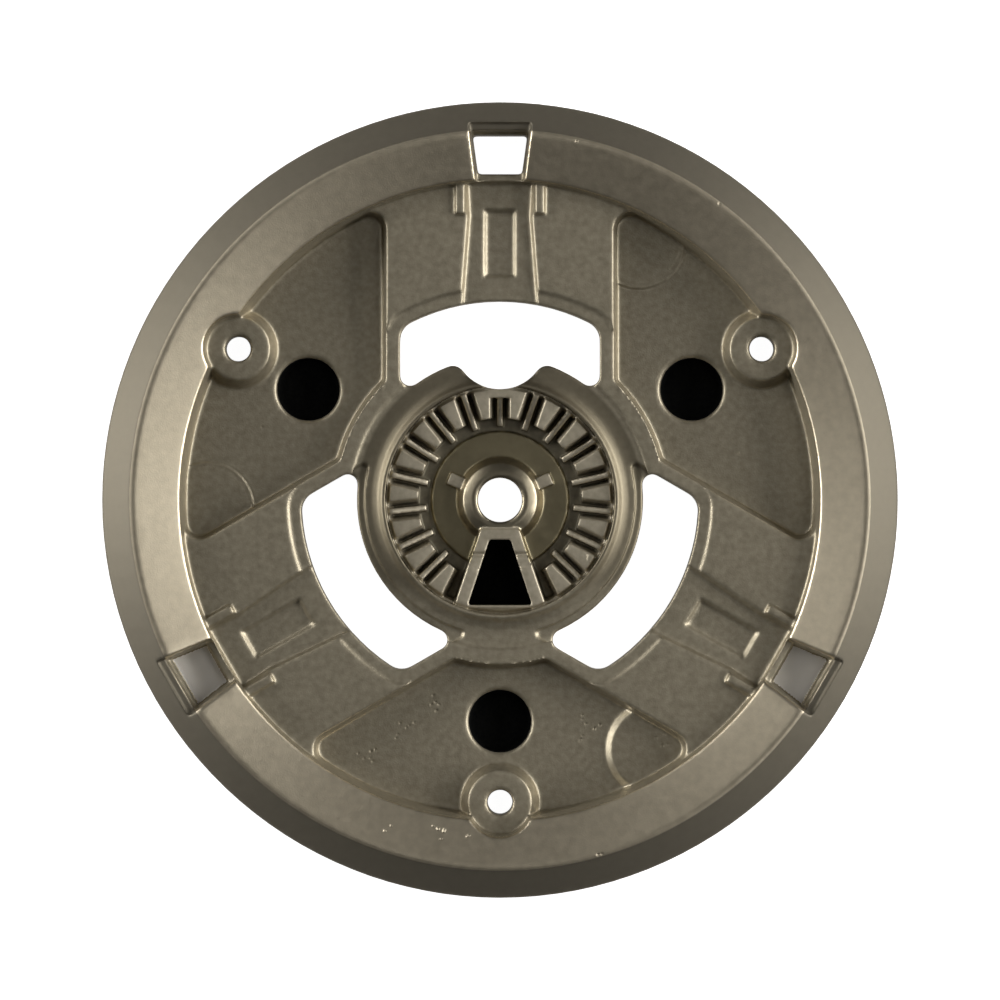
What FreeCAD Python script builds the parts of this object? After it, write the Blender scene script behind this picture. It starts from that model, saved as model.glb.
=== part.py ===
import FreeCAD, Part
import math
import os
import Sketcher

Vector = FreeCAD.Vector
Rotation = FreeCAD.Rotation
Placement = FreeCAD.Placement

doc = FreeCAD.newDocument("RangeBurnerBase")

# Driving dimensions in millimetres and degrees.
# Radii are stacked from the centre hole outwards, heights from the underside up.
DRIVING_SIZES = [
    # rim, from the outside in
    ("base_radius", 70.0),
    ("bevel_width", 5.0),
    ("bevel_drop", 4.1),
    ("crest_width", 0.8),
    ("band_width", 7.9),
    ("band_rise", 2.0),
    # levels above the underside
    ("floor_thickness", 5.5),
    ("spoke_rise", 4.2),
    ("rim_rise", 2.3),
    ("ledge_drop", 0.5),
    ("wall_draft", 9.0),
    # hub, from the centre out
    ("hole_radius", 3.9),
    ("hole_chamfer", 0.35),
    ("collar_top", 1.2),
    ("collar_slope", 1.4),
    ("collar_fall", 0.6),
    ("collar_flank", 1.2),
    ("collar_rise", 2.7),
    ("well_width", 4.4),
    ("well_step", 0.6),
    ("groove_width", 2.3),
    ("block_length", 5.1),
    ("block_rise", 3.4),
    ("block_drop", 0.3),
    ("gap_width", 0.7),
    ("gap_depth", 0.6),
    ("ridge_crest", 0.5),
    ("ridge_rise", 1.5),
    ("ridge_steep", 0.8),
    ("ridge_steep_drop", 0.95),
    ("ridge_slope", 1.2),
    ("ridge_slope_drop", 0.53),
    ("ridge_foot", 1.4),
    ("valley_width", 2.2),
    ("valley_drop", 0.4),
    ("rail_width", 2.6),
    # slots between the blocks, with a rib in each
    ("slot_pitch", 19.2),
    ("slot_width", 3.6),
    ("slot_draft", 14.0),
    ("rib_width", 1.0),
    ("rib_reach", 1.4),
    ("rib_drop", 0.4),
    ("rib_fall", 1.2),
    # lugs beside the collar
    ("lug_size", 2.1),
    ("lug_rise", 1.0),
    ("lug_angle", 23.2),
    # blind opening in the hub and the wall around it
    ("mouth_inner_width", 3.7),
    ("mouth_outer_width", 11.3),
    ("mouth_floor", 1.2),
    ("mouth_lip", 1.0),
    ("frame_hole_gap", 1.0),
    ("frame_inner_wall", 2.1),
    ("frame_inner_side", 1.75),
    ("frame_outer_side", 2.95),
    ("frame_rise", 0.4),
    ("frame_draft", 4.0),
    ("frame_notch_width", 0.8),
    ("frame_notch_offset", 2.6),
    # pockets and spokes
    ("spoke_width", 40.0),
    ("pocket_outer_corner", 3.0),
    ("pocket_inner_corner", 1.5),
    # windows
    ("window_inset", 1.1),
    ("window_depth", 9.8),
    ("window_margin", 2.4),
    ("window_outer_corner", 3.5),
    ("window_inner_corner", 1.8),
    ("lobe_radius", 8.2),
    ("lobe_offset", 2.5),
    ("lobe_corner", 2.2),
    ("lobe_wall", 1.5),
    ("ledge_margin", 2.3),
    ("ledge_overrun", 0.3),
    ("hub_lip_width", 1.5),
    ("hub_lip_drop", 0.6),
    # channel along each spoke
    ("channel_depth", 1.2),
    ("channel_draft", 26.0),
    ("channel_mouth_width", 14.6),
    ("channel_neck_width", 11.6),
    ("channel_end_width", 12.4),
    ("channel_neck_inset", 6.4),
    ("inset_length", 12.3),
    ("inset_width", 5.9),
    ("inset_depth", 0.8),
    ("inset_gap", 5.0),
    ("inset_draft", 42.0),
    # stub ribs at the ring end of each spoke
    ("stub_length", 6.0),
    ("stub_width", 2.4),
    ("stub_spacing", 14.0),
    ("stub_rise", 1.0),
    ("stub_draft", 18.0),
    # notches across the ring
    ("notch_overrun", 2.1),
    ("notch_strip", 1.2),
    ("notch_strip_drop", 1.9),
    ("notch_outer_width", 10.9),
    ("notch_inner_width", 9.0),
    ("notch_sill_rise", 0.5),
    ("notch_draft", 6.0),
    ("notch_slot_inner_inset", 1.0),
    ("notch_slot_side", 0.65),
    ("web_thickness", 7.2),
    # screw seats
    ("seat_inset", 3.1),
    ("seat_radius", 5.6),
    ("seat_foot", 1.3),
    ("seat_rise", 3.8),
    ("seat_flare", 0.7),
    ("screw_radius", 2.2),
    ("screw_chamfer", 0.4),
    # dark round ports in the pocket floors
    ("port_spacing", 10.1),
    ("port_radius", 5.45),
    ("port_rim", 0.55),
    ("port_floor", 1.3),
    # low round pads beside the spokes
    ("pad_radius", 7.6),
    ("pad_slope", 1.0),
    ("pad_inset", 4.7),
    ("pad_angle", 28.3),
    ("pad_rise", 0.6),
]

sheet = doc.addObject("Spreadsheet::Sheet", "Sizes")
for row, (name, number) in enumerate(DRIVING_SIZES, start=1):
    sheet.set("A%d" % row, name.replace("_", " "))
    sheet.set("B%d" % row, "%g" % number)
    sheet.setAlias("B%d" % row, name)
doc.recompute()


# A length or angle that carries its number and its formula in sheet cells.
class Size:
    def __init__(self, number, formula):
        self.number = float(number)
        self.formula = formula

    def __add__(self, other):
        other = as_size(other)
        return Size(self.number + other.number, "(%s + %s)" % (self.formula, other.formula))

    def __sub__(self, other):
        other = as_size(other)
        return Size(self.number - other.number, "(%s - %s)" % (self.formula, other.formula))

    def __mul__(self, other):
        other = as_size(other)
        return Size(self.number * other.number, "(%s * %s)" % (self.formula, other.formula))

    def __truediv__(self, other):
        other = as_size(other)
        return Size(self.number / other.number, "(%s / %s)" % (self.formula, other.formula))


def as_size(value):
    if isinstance(value, Size):
        return value
    return Size(value, "%g" % value)


def cell(name):
    return Size(sheet.get(name), "Sizes." + name)


def bind(item, field, size):
    item.setExpression(field, as_size(size).formula)


SPOKES = 3
SPOKE_TURN = 360 / SPOKES
FIRST_SPOKE = 90
FIRST_POCKET = FIRST_SPOKE - SPOKE_TURN / 2
CLEAR = 2.0  # how far a cut runs past the face it opens
WELD = 0.2  # how far an added piece reaches into the one it joins

# Radii
outer = cell("base_radius")
bevel_inner = outer - cell("bevel_width")
crest = bevel_inner - cell("crest_width")
band_inner = crest - cell("band_width")
hole = cell("hole_radius")
collar_shoulder = hole + cell("collar_top")
collar_brow = collar_shoulder + cell("collar_slope")
collar = collar_brow + cell("collar_flank")
well = collar + cell("well_width")
block_inner = well + cell("groove_width")
block_outer = block_inner + cell("block_length")
ridge_inner = block_outer + cell("gap_width")
ridge_shoulder = ridge_inner + cell("ridge_crest")
ridge_flank = ridge_shoulder + cell("ridge_steep")
ridge_skirt = ridge_flank + cell("ridge_slope")
ridge_outer = ridge_skirt + cell("ridge_foot")
rail_inner = ridge_outer + cell("valley_width")
rail_outer = rail_inner + cell("rail_width")
window_inner = rail_inner - cell("window_inset")
window_outer = window_inner + cell("window_depth")
seat_circle = band_inner - cell("seat_inset")
port_circle = rail_outer + cell("port_spacing")
pad_circle = band_inner - cell("pad_inset")

# Heights
floor_level = cell("floor_thickness")
spoke_level = floor_level + cell("spoke_rise")
ledge_level = spoke_level - cell("ledge_drop")
band_level = spoke_level + cell("rim_rise")
crest_level = band_level + cell("band_rise")
bevel_level = crest_level - cell("bevel_drop")
valley_level = ledge_level - cell("valley_drop")
block_level = ledge_level - cell("block_drop")
gap_level = block_level - cell("gap_depth")
ridge_level = block_level + cell("ridge_rise")
flank_level = ridge_level - cell("ridge_steep_drop")
skirt_level = flank_level - cell("ridge_slope_drop")
groove_level = block_level - cell("block_rise")
well_level = groove_level + cell("well_step")
collar_level = well_level + cell("collar_rise")
seat_level = floor_level + cell("seat_rise")
sill_level = spoke_level + cell("notch_sill_rise")

window_width = cell("spoke_width") - cell("window_margin") * 2

# The ring wall leans by the draft, so its foot lies inside its top edge.
ring_foot = band_inner - cell("rim_rise") * Size(
    math.tan(math.radians(cell("wall_draft").number)), "tan(Sizes.wall_draft * 1 deg)")

body = doc.addObject("PartDesign::Body", "BurnerBase")
body.Label = "burner_base"
body.Placement = Placement(Vector(0, 0, 0), Rotation())


def origin_feature(role):
    for feature in body.Origin.OriginFeatures:
        if feature.Role == role:
            return feature


# A sketch on a level plane, turned about the vertical axis.
def level_sketch(name, level, turn=0.0):
    sketch = body.newObject("Sketcher::SketchObject", name)
    sketch.AttachmentSupport = [(origin_feature("XY_Plane"), "")]
    sketch.MapMode = "FlatFace"
    sketch.AttachmentOffset = Placement(Vector(0, 0, 0), Rotation(Vector(0, 0, 1), turn))
    bind(sketch, "AttachmentOffset.Base.z", level)
    return sketch


# A sketch on an upright plane through the axis, turned about it.
def upright_sketch(name, turn):
    sketch = body.newObject("Sketcher::SketchObject", name)
    sketch.AttachmentSupport = [(origin_feature("XZ_Plane"), "")]
    sketch.MapMode = "FlatFace"
    sketch.AttachmentOffset = Placement(Vector(0, 0, 0), Rotation(Vector(0, 1, 0), turn))
    return sketch


# A closed outline of lines and arcs, drawn in order and held by named constraints.
class Outline:
    ORIGIN = (-1, 1)

    def __init__(self, sketch):
        self.sketch = sketch
        self.ends = []
        self.count = 0

    def line(self, start, end):
        index = self.sketch.addGeometry(Part.LineSegment(start, end), False)
        self.ends.append((index, 1, 2))
        return index

    # turn is 1 for a counter-clockwise run along the outline, -1 for clockwise
    def arc(self, centre, radius, start, end, turn):
        first, last = (start, end) if turn > 0 else (end, start)
        opening = math.atan2(first.y - centre.y, first.x - centre.x)
        closing = math.atan2(last.y - centre.y, last.x - centre.x)
        if closing <= opening:
            closing += 2 * math.pi
        circle = Part.Circle(centre, Vector(0, 0, 1), radius)
        index = self.sketch.addGeometry(Part.ArcOfCircle(circle, opening, closing), False)
        self.ends.append((index, 1, 2) if turn > 0 else (index, 2, 1))
        return index

    def hold(self, kind, *arguments, size=None):
        if size is None:
            return self.sketch.addConstraint(Sketcher.Constraint(kind, *arguments))
        size = as_size(size)
        constraint = Sketcher.Constraint(kind, *arguments, size.number)
        index = self.sketch.addConstraint(constraint)
        self.count += 1
        label = "size%d" % self.count
        self.sketch.renameConstraint(index, label)
        self.sketch.setExpression("Constraints." + label, size.formula)
        return index

    def close(self, kind="Coincident"):
        for here, there in zip(self.ends, self.ends[1:] + self.ends[:1]):
            self.hold(kind, here[0], here[2], there[0], there[1])

    def place(self, index, end, x, y):
        self.hold("DistanceX", *self.ORIGIN, index, end, size=x)
        self.hold("DistanceY", *self.ORIGIN, index, end, size=y)


# A straight-sided outline through points given as pairs of sizes.
def polygon(sketch, points):
    points = [(as_size(x), as_size(y)) for x, y in points]
    vertices = [Vector(x.number, y.number, 0) for x, y in points]
    outline = Outline(sketch)
    for start, end in zip(vertices, vertices[1:] + vertices[:1]):
        outline.line(start, end)
    outline.close()
    for index, (x, y) in enumerate(points):
        outline.place(index, 1, x, y)


# A rectangle along the first sketch axis, centred across it
def rectangle(sketch, near, far, width):
    trapezium(sketch, near, far, width, width)


# A trapezium along the first sketch axis, centred across it
def trapezium(sketch, near, far, near_width, far_width):
    polygon(sketch, [
        (near, near_width / -2),
        (far, far_width / -2),
        (far, far_width / 2),
        (near, near_width / 2),
    ])


# The centre and the two touching points of a corner between a circle about the axis
# and a line parallel to the first sketch axis. A side is -1 for a corner inside the
# circle or below the line, and 1 for one outside or above.
def corner(radius, circle_side, offset, line_side, fillet):
    reach = radius + circle_side * fillet
    across = offset + line_side * fillet
    along = math.sqrt(reach ** 2 - across ** 2)
    centre = Vector(along, across, 0)
    on_circle = centre * (radius / reach)
    on_line = Vector(along, offset, 0)
    return centre, on_circle, on_line


def mirrored(point):
    return Vector(point.x, -point.y, 0)


def turned(point, angle):
    return Rotation(Vector(0, 0, 1), angle).multVec(point)


def pad(sketch, height, draft=None):
    feature = body.newObject("PartDesign::Pad", sketch.Name + "Pad")
    feature.Profile = sketch
    bind(feature, "Length", height)
    if draft is not None:
        bind(feature, "TaperAngle", as_size(draft) * -1)
    return feature


def pocket(sketch, depth, draft=None):
    feature = body.newObject("PartDesign::Pocket", sketch.Name + "Cut")
    feature.Profile = sketch
    bind(feature, "Length", depth)
    if draft is not None:
        bind(feature, "TaperAngle", as_size(draft) * -1)
    return feature


def through(sketch):
    feature = body.newObject("PartDesign::Pocket", sketch.Name + "Cut")
    feature.Profile = sketch
    feature.Type = "ThroughAll"
    return feature


def repeat(name, features, copies=SPOKES, angle=360.0):
    pattern = body.newObject("PartDesign::PolarPattern", name)
    pattern.Originals = features
    pattern.Axis = (origin_feature("Z_Axis"), [""])
    pattern.Angle = angle
    pattern.Occurrences = copies
    body.Tip = pattern
    return pattern


# A round feature about an upright axis at a radius and an angle from the centre.
def round_feature(kind, name, circle, turn, level, height, low_radius, high_radius=None):
    feature = body.newObject("PartDesign::" + kind, name)
    feature.AttachmentSupport = [(origin_feature("XY_Plane"), "")]
    feature.MapMode = "FlatFace"
    turn = as_size(turn)
    angle = math.radians(turn.number)
    cosine = "cos(%s * 1 deg)" % turn.formula
    sine = "sin(%s * 1 deg)" % turn.formula
    bind(feature, "AttachmentOffset.Base.x", circle * Size(math.cos(angle), cosine))
    bind(feature, "AttachmentOffset.Base.y", circle * Size(math.sin(angle), sine))
    bind(feature, "AttachmentOffset.Base.z", level)
    bind(feature, "Height", height)
    if high_radius is None:
        bind(feature, "Radius", low_radius)
    else:
        bind(feature, "Radius1", low_radius)
        bind(feature, "Radius2", high_radius)
    return feature


# The turned form: rim, ring, spoke level, rail, ridge, block ring, groove, well and collar
def make_turned_form():
    sketch = body.newObject("Sketcher::SketchObject", "Section")
    sketch.AttachmentSupport = [(origin_feature("XZ_Plane"), "")]
    sketch.MapMode = "FlatFace"
    chamfer = cell("hole_chamfer")
    corners = [
        (hole, as_size(0)),
        (outer, as_size(0)),
        (outer, bevel_level),
        (bevel_inner, crest_level),
        (crest, crest_level),
        (band_inner, band_level),
        (ring_foot, spoke_level),
        (rail_outer, spoke_level),
        (rail_outer, ledge_level),
        (rail_inner, ledge_level),
        (rail_inner, valley_level),
        (ridge_outer, valley_level),
        (ridge_skirt, skirt_level),
        (ridge_flank, flank_level),
        (ridge_shoulder, ridge_level),
        (ridge_inner, ridge_level),
        (ridge_inner, gap_level),
        (block_outer, gap_level),
        (block_outer, block_level),
        (block_inner, block_level),
        (block_inner, groove_level),
        (well, groove_level),
        (well, well_level),
        (collar, well_level),
        (collar_brow, collar_level - cell("collar_fall")),
        (collar_shoulder, collar_level),
        (hole + chamfer, collar_level),
        (hole, collar_level - chamfer),
    ]
    outline = Outline(sketch)
    vertices = [Vector(radius.number, height.number, 0) for radius, height in corners]
    for start, end in zip(vertices, vertices[1:] + vertices[:1]):
        outline.line(start, end)
    outline.close()
    for index, (radius, height) in enumerate(corners):
        outline.hold("DistanceX", *Outline.ORIGIN, index, 1, size=radius)
        if height.number == 0:
            outline.hold("PointOnObject", index, 1, -1)
        else:
            outline.hold("DistanceY", *Outline.ORIGIN, index, 1, size=height)
    form = body.newObject("PartDesign::Revolution", "TurnedForm")
    form.Profile = sketch
    form.ReferenceAxis = (sketch, ["V_Axis"])
    form.Angle = 360


# Pockets between the spokes, with round corners where the spokes meet the ring
def make_pockets():
    half = (cell("spoke_width") / 2).number
    lean = SPOKE_TURN / 2
    big = cell("pocket_outer_corner")
    small = cell("pocket_inner_corner")
    far = corner(ring_foot.number, -1, half, 1, big.number)
    near = corner(rail_outer.number, 1, half, 1, small.number)
    # the corners are worked out beside the spoke axis, then turned beside the pocket axis
    lower_far = [turned(point, -lean) for point in far]
    lower_near = [turned(point, -lean) for point in near]
    upper_far = [mirrored(point) for point in lower_far]
    upper_near = [mirrored(point) for point in lower_near]
    centre = Vector(0, 0, 0)
    sketch = level_sketch("Pocket", spoke_level, FIRST_POCKET)
    outline = Outline(sketch)
    ring_arc = outline.arc(centre, ring_foot.number, lower_far[1], upper_far[1], 1)
    upper_big = outline.arc(upper_far[0], big.number, upper_far[1], upper_far[2], 1)
    upper_side = outline.line(upper_far[2], upper_near[2])
    upper_small = outline.arc(upper_near[0], small.number, upper_near[2], upper_near[1], 1)
    rail_arc = outline.arc(centre, rail_outer.number, upper_near[1], lower_near[1], -1)
    lower_small = outline.arc(lower_near[0], small.number, lower_near[1], lower_near[2], 1)
    lower_side = outline.line(lower_near[2], lower_far[2])
    lower_big = outline.arc(lower_far[0], big.number, lower_far[2], lower_far[1], 1)
    outline.close("Tangent")
    for index, radius in ((ring_arc, ring_foot), (rail_arc, rail_outer)):
        outline.hold("Coincident", index, 3, *Outline.ORIGIN)
        outline.hold("Radius", index, size=radius)
    for index in (upper_big, lower_big):
        outline.hold("Radius", index, size=big)
    for index in (upper_small, lower_small):
        outline.hold("Radius", index, size=small)
    for index, angle in ((upper_side, 180 + lean), (lower_side, -lean)):
        outline.hold("Angle", index, math.radians(angle))
        outline.hold("Distance", *Outline.ORIGIN, index, size=cell("spoke_width") / 2)
    repeat("Pockets", [pocket(sketch, cell("spoke_rise"), cell("wall_draft"))])


# An outline between two arcs about the axis and two lines beside a spoke axis
def window_outline(sketch, near_radius, far_radius, width, near_fillet, far_fillet):
    half = (width / 2).number
    far = corner(far_radius.number, -1, half, -1, far_fillet.number)
    near = corner(near_radius.number, 1, half, -1, near_fillet.number)
    centre = Vector(0, 0, 0)
    outline = Outline(sketch)
    outer_arc = outline.arc(centre, far_radius.number, mirrored(far[1]), far[1], 1)
    upper_far = outline.arc(far[0], far_fillet.number, far[1], far[2], 1)
    upper_side = outline.line(far[2], near[2])
    upper_near = outline.arc(near[0], near_fillet.number, near[2], near[1], 1)
    inner_arc = outline.arc(centre, near_radius.number, near[1], mirrored(near[1]), -1)
    lower_near = outline.arc(
        mirrored(near[0]), near_fillet.number, mirrored(near[1]), mirrored(near[2]), 1)
    lower_side = outline.line(mirrored(near[2]), mirrored(far[2]))
    lower_far = outline.arc(
        mirrored(far[0]), far_fillet.number, mirrored(far[2]), mirrored(far[1]), 1)
    outline.close("Tangent")
    for index, radius in ((outer_arc, far_radius), (inner_arc, near_radius)):
        outline.hold("Coincident", index, 3, *Outline.ORIGIN)
        outline.hold("Radius", index, size=radius)
    for index in (upper_far, lower_far):
        outline.hold("Radius", index, size=far_fillet)
    for index in (upper_near, lower_near):
        outline.hold("Radius", index, size=near_fillet)
    for index in (upper_side, lower_side):
        outline.hold("Horizontal", index)
        outline.hold("Distance", *Outline.ORIGIN, index, size=width / 2)


# Windows through the base, each with a low ledge around it
def make_windows():
    ledge = level_sketch("Ledge", spoke_level, FIRST_SPOKE)
    window_outline(
        ledge, rail_inner + cell("rail_width") / 2, window_outer + cell("ledge_margin"),
        cell("spoke_width") + cell("ledge_overrun") * 2, cell("window_inner_corner") / 2,
        cell("window_outer_corner") + cell("ledge_margin"))
    window = level_sketch("Window", crest_level, FIRST_SPOKE)
    window_outline(
        window, window_inner, window_outer, window_width,
        cell("window_inner_corner"), cell("window_outer_corner"))
    repeat("Ledges", [pocket(ledge, cell("ledge_drop"))])
    repeat("Windows", [through(window)])


# A low lip on the hub beside each window without a lobe
def make_hub_lips():
    near = window_inner - cell("hub_lip_width")
    far = window_inner + CLEAR
    lip = level_sketch("HubLip", valley_level, FIRST_SPOKE + SPOKE_TURN)
    window_outline(
        lip, near, far, window_width, cell("window_inner_corner") / 2,
        cell("window_inner_corner") / 2)
    repeat("HubLips", [pocket(lip, cell("hub_lip_drop"))], SPOKES - 1, SPOKE_TURN)


# A wall closes the slot that would run into the lobe
def make_lobe_wall():
    near = window_inner + cell("lobe_offset") - cell("lobe_radius") - cell("lobe_wall")
    width = cell("slot_width") + 2 * WELD
    far = block_outer + cell("gap_width") / 2 + WELD
    wall = level_sketch("LobeWall", groove_level, FIRST_SPOKE)
    rectangle(wall, near, far, width)
    pad(wall, block_level - groove_level)


# The top window runs into the hub as a round lobe, with a rounded corner on each side
def make_lobe():
    radius = cell("lobe_radius")
    fillet = cell("lobe_corner")
    reach = window_inner + cell("lobe_offset")
    near = window_inner.number - fillet.number
    wide = radius.number + fillet.number
    along = (near ** 2 - wide ** 2 + reach.number ** 2) / (2 * reach.number)
    across = math.sqrt(near ** 2 - along ** 2)
    hip = Vector(along, across, 0)
    middle = Vector(reach.number, 0, 0)
    on_arc = hip * (window_inner.number / near)
    on_lobe = hip + (middle - hip) * (fillet.number / wide)
    back = (window_inner + window_outer) / 2
    sketch = level_sketch("Lobe", crest_level, FIRST_SPOKE)
    outline = Outline(sketch)
    right = Vector(back.number, -on_arc.y, 0)
    left = Vector(back.number, on_arc.y, 0)
    outline.line(right, left)
    upper_side = outline.line(left, on_arc)
    upper_hip = outline.arc(hip, fillet.number, on_arc, on_lobe, -1)
    lobe = outline.arc(middle, radius.number, on_lobe, mirrored(on_lobe), 1)
    lower_hip = outline.arc(mirrored(hip), fillet.number, mirrored(on_lobe), mirrored(on_arc), -1)
    lower_side = outline.line(mirrored(on_arc), right)
    outline.close()
    outline.hold("Radius", lobe, size=radius)
    outline.hold("DistanceX", *Outline.ORIGIN, lobe, 3, size=reach)
    outline.hold("PointOnObject", lobe, 3, -1)
    for index in (upper_hip, lower_hip):
        outline.hold("Radius", index, size=fillet)
    outline.hold("Horizontal", upper_side)
    outline.hold("Horizontal", lower_side)
    through(sketch)


# A tapering channel along each spoke, with a sunk inset in its floor
def make_channels():
    mouth = (window_inner + window_outer) / 2
    neck = band_inner - cell("channel_neck_inset")
    channel = level_sketch("Channel", spoke_level, FIRST_SPOKE)
    half_mouth = cell("channel_mouth_width") / 2
    half_neck = cell("channel_neck_width") / 2
    half_end = cell("channel_end_width") / 2
    end = ring_foot + WELD
    polygon(channel, [
        (mouth, half_mouth * -1),
        (neck, half_neck * -1),
        (end, half_end * -1),
        (end, half_end),
        (neck, half_neck),
        (mouth, half_mouth),
    ])
    repeat("Channels", [pocket(channel, cell("channel_depth"), cell("channel_draft"))])
    inset = level_sketch("Inset", spoke_level - cell("channel_depth"), FIRST_SPOKE)
    far = band_inner - cell("inset_gap")
    near = far - cell("inset_length")
    rectangle(inset, near, far, cell("inset_width"))
    repeat("Insets", [pocket(inset, cell("inset_depth"), cell("inset_draft"))])


# Two stub ribs beside each channel, standing against the ring
def make_stubs():
    far = band_inner
    near = ring_foot - cell("stub_length")
    for side in (-1, 1):
        middle = cell("stub_spacing") / 2 * side
        half = cell("stub_width") / 2
        name = "LeftStub" if side > 0 else "RightStub"
        stub = level_sketch(name, ledge_level, FIRST_SPOKE)
        polygon(stub, [
            (near, middle - half),
            (far, middle - half),
            (far, middle + half),
            (near, middle + half),
        ])
        height = cell("ledge_drop") + cell("stub_rise")
        repeat(name + "s", [pad(stub, height, cell("stub_draft"))])


# A notch across the ring at each spoke: a sill, a strip in the bevel and a slot
def make_notches():
    outer_width = cell("notch_outer_width")
    inner_width = cell("notch_inner_width")
    far = crest + cell("notch_overrun")
    strip = far - cell("notch_strip")
    near = ring_foot - WELD
    sill = level_sketch("NotchSill", crest_level, FIRST_SPOKE)
    trapezium(sill, near, strip, inner_width, outer_width)
    shelf = level_sketch("NotchStrip", crest_level, FIRST_SPOKE)
    trapezium(shelf, strip - WELD, far, outer_width, outer_width)
    repeat("NotchSills", [pocket(sill, crest_level - sill_level, cell("notch_draft"))])
    repeat("NotchStrips", [pocket(shelf, cell("notch_strip_drop"))])
    slot_near = band_inner + cell("notch_slot_inner_inset")
    slot_inner_width = inner_width - cell("notch_slot_side") * 2
    slot_outer_width = outer_width - cell("notch_slot_side") * 2
    slot = level_sketch("NotchSlot", sill_level, FIRST_SPOKE)
    trapezium(slot, slot_near, crest, slot_inner_width, slot_outer_width)
    repeat("NotchSlots", [pocket(slot, sill_level - cell("web_thickness"))])
    # the top slot alone is open to the underside
    opening = level_sketch("TopSlot", sill_level, FIRST_SPOKE)
    trapezium(opening, slot_near, crest, slot_inner_width, slot_outer_width)
    through(opening)


# A screw seat in the middle of each pocket, half in the ring and half above the floor
def make_screw_seats():
    seat = cell("seat_radius")
    foot = seat + cell("seat_foot")
    chamfer = cell("screw_chamfer")
    screw = cell("screw_radius")
    depth = crest_level - seat_level
    boss = round_feature(
        "AdditiveCone", "SeatBoss", seat_circle, FIRST_POCKET, floor_level,
        cell("seat_rise"), foot, seat)
    recess = round_feature(
        "SubtractiveCone", "SeatRecess", seat_circle, FIRST_POCKET, seat_level,
        depth, seat, seat + cell("seat_flare"))
    bore = round_feature(
        "SubtractiveCylinder", "ScrewHole", seat_circle, FIRST_POCKET, -CLEAR,
        seat_level + 2 * CLEAR, screw)
    edge = round_feature(
        "SubtractiveCone", "ScrewChamfer", seat_circle, FIRST_POCKET, seat_level - chamfer,
        chamfer, screw, screw + chamfer)
    repeat("ScrewSeats", [boss, recess, bore, edge])


# A deep blind port in each pocket, with a chamfered rim
def make_ports():
    port = cell("port_radius")
    rim = cell("port_rim")
    bore = round_feature(
        "SubtractiveCylinder", "Port", port_circle, FIRST_POCKET,
        cell("port_floor"), floor_level - cell("port_floor"), port)
    edge = round_feature(
        "SubtractiveCone", "PortRim", port_circle, FIRST_POCKET, floor_level - rim,
        rim, port, port + rim)
    repeat("Ports", [bore, edge])


# A low round pad on the pocket floor at the clockwise side of each spoke
def make_pads():
    boss = round_feature(
        "AdditiveCone", "FloorPad", pad_circle, as_size(FIRST_SPOKE) - cell("pad_angle"),
        floor_level, cell("pad_rise"), cell("pad_radius") + cell("pad_slope"), cell("pad_radius"))
    repeat("FloorPads", [boss])


# Slots across the block ring, and a thin rib standing in each
def make_block_ring():
    pitch = cell("slot_pitch")
    copies = 2 * int((180 - pitch.number) / pitch.number) + 1
    sweep = pitch.number * (copies - 1)
    first = FIRST_SPOKE - sweep / 2
    slot = level_sketch("BlockSlot", block_level, first)
    near = block_inner - cell("groove_width") / 2
    far = block_outer + cell("gap_width") / 2
    rectangle(slot, near, far, cell("slot_width"))
    cut = pocket(slot, cell("block_rise"), cell("slot_draft"))
    repeat("BlockSlots", [cut], copies, sweep)
    # the two end slots, beside the mouth, hold no rib
    rib = upright_sketch("Rib", first + pitch.number)
    start = block_inner - cell("rib_reach")
    end = far + WELD
    top = block_level - cell("rib_drop")
    polygon(rib, [
        (start, groove_level),
        (end, groove_level),
        (end, top),
        (start, top - cell("rib_fall")),
    ])
    ridge = pad(rib, cell("rib_width"))
    ridge.SideType = "Symmetric"
    repeat("Ribs", [ridge], copies - 2, sweep - 2 * pitch.number)


# Two lugs on the well floor, each joined to the flank of the collar
def make_lugs():
    side = cell("lug_size")
    for name, turn in (("RightLug", cell("lug_angle").number),
                       ("LeftLug", 180 - cell("lug_angle").number)):
        lug = level_sketch(name, well_level, turn)
        rectangle(lug, collar_shoulder, collar + side, side)
        pad(lug, cell("lug_rise"))


# A raised frame in the bottom of the hub around a deep blind mouth
def make_mouth():
    turn = FIRST_SPOKE + 180
    frame_level = block_level + cell("frame_rise")
    frame_near = hole + cell("frame_hole_gap")
    near = frame_near + cell("frame_inner_wall")
    far = block_outer - cell("mouth_lip")
    inner_width = cell("mouth_inner_width")
    outer_width = cell("mouth_outer_width")
    frame_inner_width = inner_width + cell("frame_inner_side") * 2
    frame_outer_width = outer_width + cell("frame_outer_side") * 2
    frame = level_sketch("MouthFrame", groove_level, turn)
    trapezium(frame, frame_near, block_outer - WELD, frame_inner_width, frame_outer_width)
    pad(frame, frame_level - groove_level, cell("frame_draft"))
    mouth = level_sketch("Mouth", frame_level, turn)
    trapezium(mouth, near, far, inner_width, outer_width)
    pocket(mouth, frame_level - cell("mouth_floor"))
    notch = level_sketch("FrameNotch", frame_level, turn)
    middle = near + cell("frame_notch_offset")
    half = cell("frame_notch_width") / 2
    rectangle(notch, middle - half, middle + half, frame_outer_width)
    pocket(notch, cell("frame_rise"))


# Hub and pocket floors come first, then the spokes and the ring
make_turned_form()
make_block_ring()
make_lugs()
make_lobe_wall()
make_mouth()
make_pockets()
make_screw_seats()
make_ports()
make_pads()
make_hub_lips()
make_windows()
make_lobe()
make_channels()
make_stubs()
make_notches()
doc.recompute()

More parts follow.
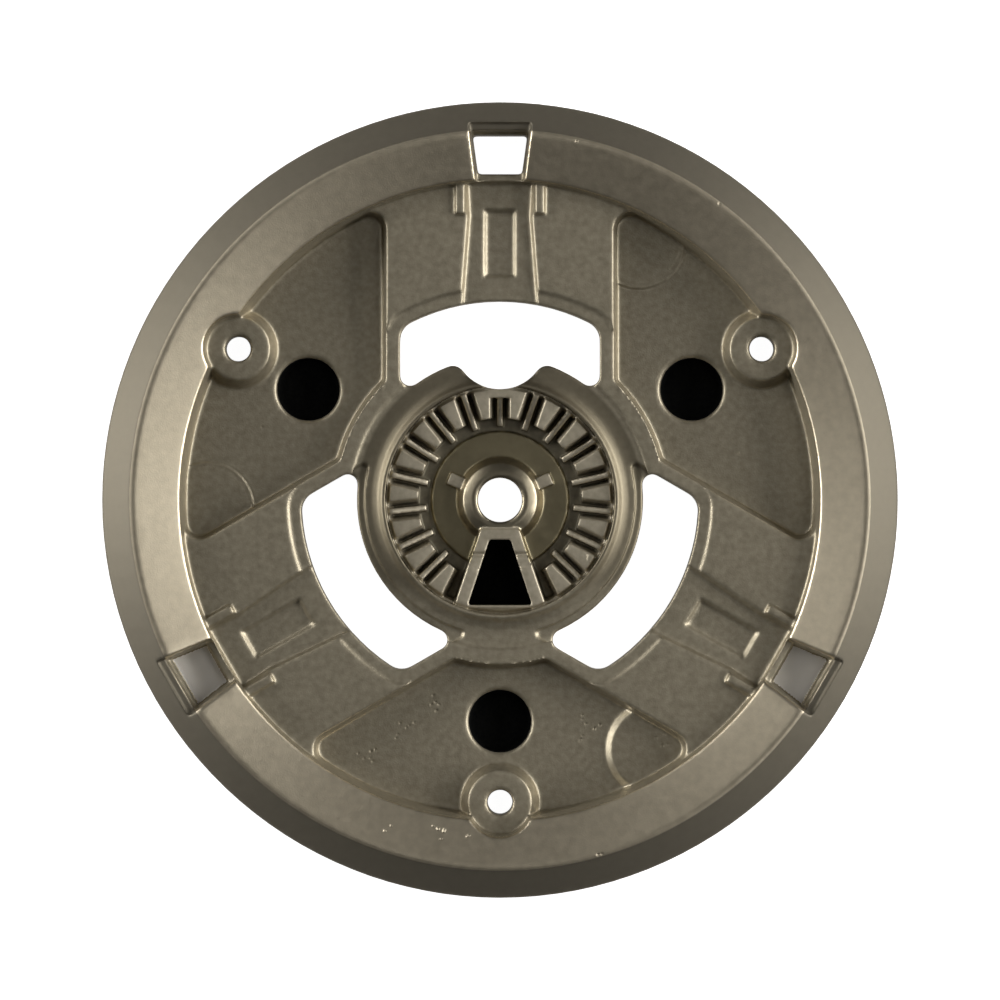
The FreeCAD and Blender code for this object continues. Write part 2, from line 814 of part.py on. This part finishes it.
for item in doc.Objects:
    if "Invalid" in item.State or "Error" in item.State:
        raise RuntimeError("%s is not built: %s" % (item.Name, item.State))
if body.Shape.isNull() or not body.Shape.isValid():
    raise RuntimeError(body.Label + " has no valid shape")
if len(body.Shape.Solids) != 1:
    raise RuntimeError(body.Label + " is not one solid")

os.makedirs("parts", exist_ok=True)
body.Shape.exportStep(os.path.join("parts", body.Label + ".step"))
print("volume %.1f mm3" % body.Shape.Volume)
print("size %.2f x %.2f x %.2f mm" % (
    body.Shape.BoundBox.XLength, body.Shape.BoundBox.YLength, body.Shape.BoundBox.ZLength))
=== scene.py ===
import math

import bmesh
import bpy
import numpy as np
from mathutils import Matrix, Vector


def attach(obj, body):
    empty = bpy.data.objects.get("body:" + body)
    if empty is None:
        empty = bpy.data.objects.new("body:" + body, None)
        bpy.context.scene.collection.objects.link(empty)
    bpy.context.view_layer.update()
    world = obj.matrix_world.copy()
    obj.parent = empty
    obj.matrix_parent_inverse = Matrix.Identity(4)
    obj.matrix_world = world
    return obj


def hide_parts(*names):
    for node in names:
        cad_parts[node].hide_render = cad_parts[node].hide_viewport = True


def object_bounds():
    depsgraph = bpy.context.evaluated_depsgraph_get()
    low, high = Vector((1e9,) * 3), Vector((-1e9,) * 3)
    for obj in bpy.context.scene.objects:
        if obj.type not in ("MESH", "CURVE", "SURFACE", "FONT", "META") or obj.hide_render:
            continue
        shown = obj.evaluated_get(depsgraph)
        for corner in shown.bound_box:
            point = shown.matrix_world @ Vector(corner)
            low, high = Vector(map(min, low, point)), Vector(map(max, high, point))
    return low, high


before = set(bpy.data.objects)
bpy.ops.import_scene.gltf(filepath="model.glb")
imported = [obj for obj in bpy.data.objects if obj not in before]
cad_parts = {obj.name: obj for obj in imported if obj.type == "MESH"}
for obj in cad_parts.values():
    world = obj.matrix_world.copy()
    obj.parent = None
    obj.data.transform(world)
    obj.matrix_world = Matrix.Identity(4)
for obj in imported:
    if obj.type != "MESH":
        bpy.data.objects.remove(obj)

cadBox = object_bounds()
print("frame loaded")

mm = 0.001
spokeAngles = (90.0, 210.0, 330.0)
pocketAngles = (30.0, 150.0, 270.0)

# The casting as it is meant to look, in millimetres unless a note says otherwise
casting = {
    "voxel": 0.18,  # grid of the softened copy
    "quickVoxel": 0.3,
    "softPasses": 14,  # smoothing passes, more gives rounder edges
    "hubPasses": 3,  # the fine blocks of the hub keep sharper edges
    "hubRadius": 20.2,
    "unevenness": 0.035,  # slow waves that sand casting leaves
    "waveLength": 7.0,
    "waveDetail": 3,  # how often finer waves are added
    "weld": 0.001,  # points closer than this become one
    "softPull": 0.5,  # how far each pass moves a point to its neighbours' middle
    "triangles": 190000,
}


def polar(radius, angle):
    turn = math.radians(angle)
    return radius * math.cos(turn), radius * math.sin(turn)


# Distances along a direction from the centre, and across it
def alongAcross(x, y, angle):
    turn = math.radians(angle)
    along = x * math.cos(turn) + y * math.sin(turn)
    across = y * math.cos(turn) - x * math.sin(turn)
    return along, across


def meshOf(node):
    grid = bmesh.new()
    grid.from_mesh(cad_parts[node].data)
    bmesh.ops.remove_doubles(grid, verts=grid.verts, dist=casting["weld"] * mm)
    mesh = bpy.data.meshes.new("castingMesh")
    grid.to_mesh(mesh)
    grid.free()
    return mesh


def bake(piece):
    graph = bpy.context.evaluated_depsgraph_get()
    finished = bpy.data.meshes.new_from_object(piece.evaluated_get(graph))
    piece.modifiers.clear()
    piece.data = finished


def pointsOf(mesh):
    points = np.empty(len(mesh.vertices) * 3)
    mesh.vertices.foreach_get("co", points)
    return points.reshape(-1, 3)


def setPoints(mesh, points):
    mesh.vertices.foreach_set("co", points.ravel())
    mesh.update()


def neighbourMean(points, edges, share):
    total = np.empty_like(points)
    for axis in range(3):
        here = np.bincount(edges[:, 0], points[edges[:, 1], axis], len(points))
        there = np.bincount(edges[:, 1], points[edges[:, 0], axis], len(points))
        total[:, axis] = here + there
    return total / share[:, None]


def soften(mesh):
    points = pointsOf(mesh)
    edges = np.empty(len(mesh.edges) * 2, dtype=np.int64)
    mesh.edges.foreach_get("vertices", edges)
    edges = edges.reshape(-1, 2)
    share = np.bincount(edges.ravel(), minlength=len(points)).astype(float)
    radius = np.hypot(points[:, 0], points[:, 1])
    inHub = radius < casting["hubRadius"] * mm
    for step in range(casting["softPasses"]):
        pull = np.full(len(points), casting["softPull"])
        if step >= casting["hubPasses"]:
            pull[inHub] = 0.0
        points += (neighbourMean(points, edges, share) - points) * pull[:, None]
    setPoints(mesh, points)


# Low round pads on the pocket floors, the two upper ones shallow and the lower one bold
pads = {
    "circle": 51.6,
    "lowest": 4.9,  # nothing below this height is moved
    "fade": (9.0, 2.5),  # the change ends at this height, and begins to fade so far below it
    "rise": 0.6,  # as the solid has them
    "step": (7.6, 8.6),
    # angle, rise, where the step ends above and below
    "shapes": ((61.7, 0.3, 8.05, 8.4), (181.7, 0.3, 8.05, 8.4), (301.7, 0.95, 7.5, 8.6)),
}


def shapePads(mesh):
    points = pointsOf(mesh)
    x, y, z = points.T / mm
    end, span = pads["fade"]
    fade = np.clip((end - z) / span, 0.0, 1.0) * (z > pads["lowest"])
    top, foot = pads["step"]
    for angle, rise, near, far in pads["shapes"]:
        px, py = polar(pads["circle"], angle)
        away = np.hypot(x - px, y - py)
        plain = pads["rise"] * np.clip((foot - away) / (foot - top), 0.0, 1.0)
        meant = rise * np.clip((far - away) / (far - near), 0.0, 1.0)
        points[:, 2] += (meant - plain) * fade * mm
    setPoints(mesh, points)


# The ring of blocks stands a little higher, as its bright tops show
crown = {
    "radii": (12.6, 19.5),
    "fade": 0.4,  # width of the passage to the ridge
    "heights": (6.8, 8.6),  # nothing rises below the first, all of it above the second
    "rise": 0.5,
}


def raiseCrown(mesh):
    points = pointsOf(mesh)
    x, y, z = points.T / mm
    radius = np.hypot(x, y)
    (inner, outer), (low, high) = crown["radii"], crown["heights"]
    inside = np.clip((outer + crown["fade"] - radius) / crown["fade"], 0.0, 1.0) * (radius > inner)
    points[:, 2] += crown["rise"] * inside * np.clip((z - low) / (high - low), 0.0, 1.0) * mm
    setPoints(mesh, points)


# Small pits left by the sand, in clusters on the pocket floors, the band and the crest
pits = {
    "radius": (0.2, 0.32),
    "depth": (0.12, 0.22),
    "seed": 11,
    "lowest": 4.8,  # the underside has no pits
    "gather": 0.6,  # share of the spread that holds most pits
    "keep": 1.0,  # the fine grid stays this far round each pit
    # middle of each cluster, how far it spreads, how many
    "clusters": (
        (-11.8, -35.6, 1.4, 5), (-15.5, -38.5, 1.8, 4), (-18.2, -41.7, 0.6, 2),
        (-23.3, -44.8, 1.6, 7), (14.2, -38.6, 0.9, 3), (16.0, -41.8, 1.8, 6),
        (28.6, -42.9, 1.3, 4), (-10.6, -57.9, 1.3, 5), (-5.4, -59.0, 0.5, 2),
        (-19.8, -57.6, 1.1, 2), (17.6, -62.4, 0.8, 2), (-41.9, 12.9, 0.1, 1),
        (13.4, 62.9, 0.2, 1), (38.5, 52.0, 0.2, 1),
    ),
}


def pressPits(piece):
    mesh = piece.data
    points = pointsOf(mesh)
    chance = np.random.default_rng(pits["seed"])
    upper = np.flatnonzero(points[:, 2] > pits["lowest"] * mm)
    coarse = np.ones(len(points), dtype=bool)
    for x, y, spread, count in pits["clusters"]:
        for place in chance.normal((x, y), spread * pits["gather"], (count, 2)):
            radius = chance.uniform(*pits["radius"]) * mm
            depth = chance.uniform(*pits["depth"]) * mm
            away = np.hypot(*(points[upper, :2] - place * mm).T)
            points[upper, 2] -= depth * np.clip(1.0 - (away / radius) ** 2, 0.0, 1.0)
            coarse[upper[away < pits["keep"] * mm]] = False
    setPoints(mesh, points)
    piece.vertex_groups.new(name="coarse").add(np.flatnonzero(coarse).tolist(), 1.0, "REPLACE")


def keepInside(mesh):
    setPoints(mesh, np.clip(pointsOf(mesh), cadBox[0], cadBox[1]))


def makeCasting():
    piece = bpy.data.objects.new("casting", meshOf("burner_base"))
    bpy.context.scene.collection.objects.link(piece)
    grid = piece.modifiers.new("grid", "REMESH")
    grid.mode = "VOXEL"
    grid.voxel_size = casting["voxel"] * mm
    bake(piece)
    print("casting grid", len(piece.data.vertices))
    soften(piece.data)
    shapePads(piece.data)
    raiseCrown(piece.data)
    pressPits(piece)
    clouds = bpy.data.textures.new("sandWaves", "CLOUDS")
    clouds.noise_scale = casting["waveLength"] * mm
    clouds.noise_depth = casting["waveDetail"]
    waves = piece.modifiers.new("waves", "DISPLACE")
    waves.texture = clouds
    waves.texture_coords = "LOCAL"
    waves.mid_level = 0.5
    waves.strength = casting["unevenness"] * mm
    count = sum(len(face.vertices) - 2 for face in piece.data.polygons)
    thin = piece.modifiers.new("thin", "DECIMATE")
    thin.ratio = casting["triangles"] / count
    thin.vertex_group = "coarse"
    bake(piece)
    piece.vertex_groups.clear()
    keepInside(piece.data)
    piece.data.polygons.foreach_set("use_smooth", [True] * len(piece.data.polygons))
    print("casting triangles", len(piece.data.polygons))
    return piece


# What the materials share
surface = {
    "stops": (0.3, 0.7),  # where the dark and the light colour stand in the noise
    "grainDetail": 2.0,
    "mottleDetail": 4.0,
    "slowStrength": 0.5,  # bump of the mottle
    "fineStrength": 0.7,  # bump of the grain
}


def newMaterial(name):
    material = bpy.data.materials.new(name)
    material.use_nodes = True
    shader = material.node_tree.nodes["Principled BSDF"]
    return material, material.node_tree.nodes, material.node_tree.links, shader


def noiseOn(nodes, links, coordinates, scale, detail):
    noise = nodes.new("ShaderNodeTexNoise")
    noise.inputs["Scale"].default_value = scale
    noise.inputs["Detail"].default_value = detail
    links.new(coordinates, noise.inputs["Vector"])
    return noise.outputs["Fac"]


def rampOn(nodes, links, value, skin):
    ramp = nodes.new("ShaderNodeValToRGB")
    pairs = zip(ramp.color_ramp.elements, surface["stops"], (skin["dark"], skin["light"]))
    for element, stop, colour in pairs:
        element.position = stop
        element.color = (*colour, 1.0)
    links.new(value, ramp.inputs["Fac"])
    return ramp.outputs["Color"]


def bumpOn(nodes, links, height, strength, distance, below=None):
    bump = nodes.new("ShaderNodeBump")
    bump.inputs["Strength"].default_value = strength
    bump.inputs["Distance"].default_value = distance
    links.new(height, bump.inputs["Height"])
    if below is not None:
        links.new(below, bump.inputs["Normal"])
    return bump.outputs["Normal"]


# Raw cast skin on the pockets and spokes
castSkin = {
    "dark": (0.305, 0.265, 0.188),
    "light": (0.395, 0.347, 0.252),
    "metallic": 0.72,
    "roughness": (0.39, 0.46),
    "grainScale": 3400.0,
    "grainDepth": 0.05 * mm,
    "mottleScale": 900.0,
    "mottleDepth": 0.02 * mm,
}
# Turned ring between the pockets and the crest
bandSkin = {
    "dark": (0.655, 0.572, 0.422),
    "light": (0.74, 0.648, 0.482),
    "metallic": 1.0,
    "roughness": (0.35, 0.41),
    "grainScale": 3800.0,
    "grainDepth": 0.03 * mm,
    "mottleScale": 700.0,
    "mottleDepth": 0.018 * mm,
}
# Bevel of the rim
bevelSkin = {
    "dark": (0.163, 0.145, 0.11),
    "light": (0.175, 0.155, 0.117),
    "metallic": 0.9,
    "roughness": (0.59, 0.63),
    "grainScale": 3800.0,
    "grainDepth": 0.006 * mm,
    "mottleScale": 700.0,
    "mottleDepth": 0.006 * mm,
}
# Collar round the centre hole, polished by wear
collarSkin = {
    "dark": (0.35, 0.305, 0.215),
    "light": (0.38, 0.33, 0.235),
    "metallic": 1.0,
    "roughness": (0.33, 0.37),
    "grainScale": 3400.0,
    "grainDepth": 0.008 * mm,
    "mottleScale": 900.0,
    "mottleDepth": 0.01 * mm,
}
# Smooth floor of the well
wellSkin = {
    "dark": (0.285, 0.244, 0.152),
    "light": (0.315, 0.27, 0.168),
    "metallic": 1.0,
    "roughness": (0.40, 0.45),
    "grainScale": 3400.0,
    "grainDepth": 0.01 * mm,
    "mottleScale": 900.0,
    "mottleDepth": 0.012 * mm,
}
# Blocks, ribs, lugs and the frame of the mouth, brighter than the rest as painted light, standing
# in for the light their raised tops catch
blockLitSkin = {
    "dark": (0.42, 0.37, 0.27),
    "light": (0.52, 0.46, 0.345),
    "metallic": 0.6,
    "roughness": (0.36, 0.44),
    "grainScale": 3400.0,
    "grainDepth": 0.03 * mm,
    "mottleScale": 1100.0,
    "mottleDepth": 0.02 * mm,
}
# Groove and slots between the blocks, painted darker as painted shade in these recesses
grooveShadeSkin = {
    "dark": (0.15, 0.131, 0.09),
    "light": (0.21, 0.184, 0.127),
    "metallic": 0.6,
    "roughness": (0.46, 0.54),
    "grainScale": 3400.0,
    "grainDepth": 0.02 * mm,
    "mottleScale": 900.0,
    "mottleDepth": 0.02 * mm,
}
# Smooth ridge and valley round the blocks
ridgeSkin = {
    "dark": (0.203, 0.175, 0.122),
    "light": (0.228, 0.198, 0.139),
    "metallic": 1.0,
    "roughness": (0.47, 0.53),
    "grainScale": 3400.0,
    "grainDepth": 0.01 * mm,
    "mottleScale": 900.0,
    "mottleDepth": 0.012 * mm,
}
# Where one skin gives way to another on the same surface, measured in metres
passages = {
    "rim": (("outwards", 64.85 * mm, 65.15 * mm),),
    "collar": (("outwards", 7.3 * mm, 7.9 * mm),),
    "hub": (("outwards", 24.8 * mm, 25.6 * mm), ("forwards", 12.5 * mm, 18.5 * mm)),
}


def passageOn(nodes, links, place, steps):
    share = None
    for direction, first, last in steps:
        way = nodes.new("ShaderNodeVectorMath")
        if direction == "outwards":
            flat = nodes.new("ShaderNodeVectorMath")
            flat.operation = "MULTIPLY"
            flat.inputs[1].default_value = (1.0, 1.0, 0.0)
            links.new(place, flat.inputs[0])
            way.operation = "LENGTH"
            links.new(flat.outputs["Vector"], way.inputs[0])
        else:
            way.operation = "DOT_PRODUCT"
            way.inputs[1].default_value = (0.0, -1.0, 0.0)
            links.new(place, way.inputs[0])
        spread = nodes.new("ShaderNodeMapRange")
        spread.interpolation_type = "SMOOTHSTEP"
        spread.inputs["From Min"].default_value = first
        spread.inputs["From Max"].default_value = last
        links.new(way.outputs["Value"], spread.inputs["Value"])
        if share is None:
            share = spread.outputs["Result"]
        else:
            most = nodes.new("ShaderNodeMath")
            most.operation = "MAXIMUM"
            links.new(share, most.inputs[0])
            links.new(spread.outputs["Result"], most.inputs[1])
            share = most.outputs["Value"]
    return share


def rangeOn(nodes, links, value, low, high):
    spread = nodes.new("ShaderNodeMapRange")
    spread.inputs["To Min"].default_value = low
    spread.inputs["To Max"].default_value = high
    links.new(value, spread.inputs["Value"])
    return spread.outputs["Result"]


def mixOn(nodes, links, share, first, second, kind):
    mix = nodes.new("ShaderNodeMix")
    mix.data_type = kind
    ends = {"FLOAT": (2, 3, 0), "RGBA": (6, 7, 2)}[kind]
    links.new(share, mix.inputs[0])
    links.new(first, mix.inputs[ends[0]])
    links.new(second, mix.inputs[ends[1]])
    return mix.outputs[ends[2]]


# One skin, or two that meet: the second takes over beyond the steps
def metal(name, skin, beyond=None, steps=None):
    material, nodes, links, shader = newMaterial(name)
    place = nodes.new("ShaderNodeTexCoord").outputs["Object"]
    grain = noiseOn(nodes, links, place, skin["grainScale"], surface["grainDetail"])
    mottle = noiseOn(nodes, links, place, skin["mottleScale"], surface["mottleDetail"])
    colour = rampOn(nodes, links, mottle, skin)
    rough = rangeOn(nodes, links, mottle, *skin["roughness"])
    shader.inputs["Metallic"].default_value = skin["metallic"]
    slow = bumpOn(nodes, links, mottle, surface["slowStrength"], skin["mottleDepth"])
    fine = bumpOn(nodes, links, grain, surface["fineStrength"], skin["grainDepth"], slow)
    if beyond is not None:
        share = passageOn(nodes, links, place, steps)
        colour = mixOn(nodes, links, share, colour, rampOn(nodes, links, mottle, beyond), "RGBA")
        rougher = rangeOn(nodes, links, mottle, *beyond["roughness"])
        rough = mixOn(nodes, links, share, rough, rougher, "FLOAT")
        if beyond["metallic"] != skin["metallic"]:
            metallic = rangeOn(nodes, links, share, skin["metallic"], beyond["metallic"])
            links.new(metallic, shader.inputs["Metallic"])
        near = surface["fineStrength"]
        far = near * (beyond["grainDepth"] / skin["grainDepth"])
        links.new(rangeOn(nodes, links, share, near, far), fine.node.inputs["Strength"])
    links.new(colour, shader.inputs["Base Color"])
    links.new(rough, shader.inputs["Roughness"])
    links.new(fine, shader.inputs["Normal"])
    return material


# Painted shade: near black in the ports and the mouth, standing in for the dark deep inside them
boreShadeSkin = {
    "dark": (0.002, 0.002, 0.002),
    "light": (0.006, 0.006, 0.005),
    "scale": 1500.0,
    "detail": 3.0,
    "roughness": 0.9,
    "specular": 0.1,
}
# Pale grey of the webs in the lower notches
webGrey = {
    "dark": (0.84, 0.81, 0.76),
    "light": (0.88, 0.85, 0.8),
    "scale": 300.0,
    "detail": 2.0,
    "roughness": 0.6,
    "specular": 0.5,
}


def dull(name, skin):
    material, nodes, links, shader = newMaterial(name)
    place = nodes.new("ShaderNodeTexCoord").outputs["Object"]
    haze = noiseOn(nodes, links, place, skin["scale"], skin["detail"])
    links.new(rampOn(nodes, links, haze, skin), shader.inputs["Base Color"])
    shader.inputs["Roughness"].default_value = skin["roughness"]
    shader.inputs["Specular IOR Level"].default_value = skin["specular"]
    return material


# Where each finish lies, radii from the centre and heights above the underside
finishes = {
    "bandRadii": (56.2, 65.3),
    "bandHeight": 11.8,
    # outer edges of well, groove, blocks and the smooth skin beyond
    "hubRadii": (12.2, 14.3, 20.0, 27.0),
    "blockHeight": 7.1,
    "grooveHeight": 6.4,
    "lugs": ((23.2, 156.8), (7.4, 10.0), 1.25, 6.5),  # angles, reach, half width, height
    "frame": (4.7, 1.9, 8.6),  # start, wall beside the mouth, height
    "underside": 0.5,
    "portCircle": 39.0,
    "portRadius": 5.55,
    "portHeight": 4.9,
    "mouthInner": (7.0, 1.95),  # distance from the centre and half width
    "mouthOuter": (18.6, 5.75),
    "mouthHeight": 7.6,
    "webRadii": (56.9, 64.6),
    "webHalf": 5.0,
    "webHeights": (6.6, 7.7),
    "webSlope": 0.9,  # only faces that look up are grey
}


def paintCasting(piece):
    mesh = piece.data
    skins = {
        "cast": metal("castMetal", castSkin),
        "rim": metal("rimMetal", bandSkin, bevelSkin, passages["rim"]),
        "ridge": metal("ridgeMetal", ridgeSkin, castSkin, passages["hub"]),
        "bore": dull("borePaintedShade", boreShadeSkin),
        "web": dull("smoothGrey", webGrey),
        "well": metal("wellMetal", collarSkin, wellSkin, passages["collar"]),
        "block": metal("blockLitMetal", blockLitSkin),
        "groove": metal("grooveShadeMetal", grooveShadeSkin),
    }
    for material in skins.values():
        mesh.materials.append(material)
    slots = {name: index for index, name in enumerate(skins)}
    centres = np.empty(len(mesh.polygons) * 3)
    mesh.polygons.foreach_get("center", centres)
    normals = np.empty(len(mesh.polygons) * 3)
    mesh.polygons.foreach_get("normal", normals)
    x, y, z = centres.reshape(-1, 3).T / mm
    faceUp = normals.reshape(-1, 3)[:, 2] > finishes["webSlope"]
    radius = np.hypot(x, y)
    above = z > finishes["underside"]
    finish = np.full(len(x), slots["cast"], dtype=np.int32)
    # ring band, bevel and outer wall
    low, high = finishes["bandRadii"]
    finish[(radius > low) & (z > finishes["bandHeight"])] = slots["rim"]
    finish[(radius > high) & above] = slots["rim"]
    # hub, from the outside in
    well, groove, blocks, valley = finishes["hubRadii"]
    inCrown = (radius > well) & (radius < blocks)
    finish[above & (radius > blocks) & (radius < valley)] = slots["ridge"]
    finish[above & (radius < groove)] = slots["well"]
    # painted shade: the floors of the groove and slots get the darker groove skin
    finish[above & inCrown & (z < finishes["grooveHeight"])] = slots["groove"]
    # painted light: the tops of the blocks, the lugs and the mouth's frame get the lighter block
    # skin
    finish[inCrown & (z > finishes["blockHeight"])] = slots["block"]
    angles, (near, far), half, height = finishes["lugs"]
    for angle in angles:
        along, across = alongAcross(x, y, angle)
        lug = (along > near) & (along < far) & (abs(across) < half)
        finish[lug & (z > height)] = slots["block"]
    # ports and mouth painted black as painted shade, with the mouth's frame painted lighter as
    # painted light
    for angle in pocketAngles:
        px, py = polar(finishes["portCircle"], angle)
        inPort = np.hypot(x - px, y - py) < finishes["portRadius"]
        finish[inPort & (z < finishes["portHeight"]) & above] = slots["bore"]
    (near, nearHalf), (far, farHalf) = finishes["mouthInner"], finishes["mouthOuter"]
    half = nearHalf + (-y - near) * (farHalf - nearHalf) / (far - near)
    start, wall, height = finishes["frame"]
    inFrame = (-y > start) & (radius < blocks) & (abs(x) < half + wall)
    finish[inFrame & (z > height)] = slots["block"]
    inMouth = (-y > near) & (-y < far) & (abs(x) < half)
    finish[inMouth & (z < finishes["mouthHeight"]) & above] = slots["bore"]
    # grey webs in the two lower notches
    near, far = finishes["webRadii"]
    low, high = finishes["webHeights"]
    for angle in spokeAngles[1:]:
        along, across = alongAcross(x, y, angle)
        web = (along > near) & (along < far) & (abs(across) < finishes["webHalf"])
        finish[web & (z > low) & (z < high) & faceUp] = slots["web"]
    mesh.polygons.foreach_set("material_index", finish)


castingPiece = makeCasting()
paintCasting(castingPiece)
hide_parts("burner_base")
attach(castingPiece, "root")
print("casting done")

# Floor, lamps and camera, in metres
studio = {
    "floorSize": 3.0,
    "floorDrop": 0.0002,
    "floorColour": (0.85, 0.85, 0.85),
    "floorRoughness": 0.8,
    "floorGlow": 0.97,  # as the camera sees it
    "floorMirrored": 0.2,  # as metal shows it
    "worldGlow": 0.03,
    "lampDistance": 1.2,
    # lean from the zenith and turn in degrees, power in watts, size up and down and along
    "lamps": {
        "rightSide": (68.0, 8.0, 16.2, 0.55, 1.1),
        "rightHigh": (28.0, -2.0, 1.15, 0.42, 0.62),
        "leftSide": (78.0, 172.0, 11.2, 0.40, 0.70),
        "leftBack": (62.0, 146.0, 2.6, 0.42, 0.62),
        "leftHigh": (28.0, 163.0, 0.62, 0.42, 0.62),
    },
    "cameraHeight": 2.0,
    "sensorWidth": 36.0,
    "viewWidth": 0.1755,  # seen at the height of the crest
    "viewEnd": 20.0,
}


# The floor glows for the camera, less so in reflections, and lights nothing
def glowOn(nodes, links, glow, mirrored):
    path = nodes.new("ShaderNodeLightPath")
    strength = None
    shares = {"Is Camera Ray": glow, "Is Glossy Ray": mirrored, "Is Transmission Ray": mirrored}
    for ray, share in shares.items():
        step = nodes.new("ShaderNodeMath")
        step.operation = "MULTIPLY_ADD"
        links.new(path.outputs[ray], step.inputs[0])
        step.inputs[1].default_value = share
        step.inputs[2].default_value = 0.0
        if strength is not None:
            links.new(strength, step.inputs[2])
        strength = step.outputs["Value"]
    return strength


def makeFloor():
    half = studio["floorSize"] / 2
    mesh = bpy.data.meshes.new("floorMesh")
    corners = [(-half, -half, 0), (half, -half, 0), (half, half, 0), (-half, half, 0)]
    mesh.from_pydata(corners, [], [(0, 1, 2, 3)])
    floor = bpy.data.objects.new("floor", mesh)
    floor.location.z = -studio["floorDrop"]
    bpy.context.scene.collection.objects.link(floor)
    material, nodes, links, shader = newMaterial("paleFloor")
    shader.inputs["Base Color"].default_value = (*studio["floorColour"], 1.0)
    shader.inputs["Roughness"].default_value = studio["floorRoughness"]
    shader.inputs["Emission Color"].default_value = (1.0, 1.0, 1.0, 1.0)
    glow = glowOn(nodes, links, studio["floorGlow"], studio["floorMirrored"])
    links.new(glow, shader.inputs["Emission Strength"])
    mesh.materials.append(material)


def makeLamp(name, lean, turn, power, height, length):
    light = bpy.data.lights.new(name, "AREA")
    light.shape = "RECTANGLE"
    light.size, light.size_y = height, length
    light.energy = power
    lamp = bpy.data.objects.new(name, light)
    lean, turn = math.radians(lean), math.radians(turn)
    reach = studio["lampDistance"]
    side = reach * math.sin(lean)
    lamp.location = (side * math.cos(turn), side * math.sin(turn), reach * math.cos(lean))
    lamp.rotation_euler = (0.0, lean, turn)
    bpy.context.scene.collection.objects.link(lamp)


def makeWorld():
    world = bpy.data.worlds.new("studioWorld")
    world.use_nodes = True
    background = world.node_tree.nodes["Background"]
    background.inputs["Color"].default_value = (1.0, 1.0, 1.0, 1.0)
    background.inputs["Strength"].default_value = studio["worldGlow"]
    bpy.context.scene.world = world


def makeCamera():
    data = bpy.data.cameras.new("camera")
    data.sensor_width = studio["sensorWidth"]
    data.lens = data.sensor_width * studio["cameraHeight"] / studio["viewWidth"]
    data.clip_end = studio["viewEnd"]
    camera = bpy.data.objects.new("camera", data)
    camera.location = (0.0, 0.0, studio["cameraHeight"] + cadBox[1][2])
    bpy.context.scene.collection.objects.link(camera)
    bpy.context.scene.camera = camera


makeFloor()
for name, setting in studio["lamps"].items():
    makeLamp(name, *setting)
makeWorld()
makeCamera()
bpy.context.scene.view_settings.view_transform = "Standard"
print("studio done")
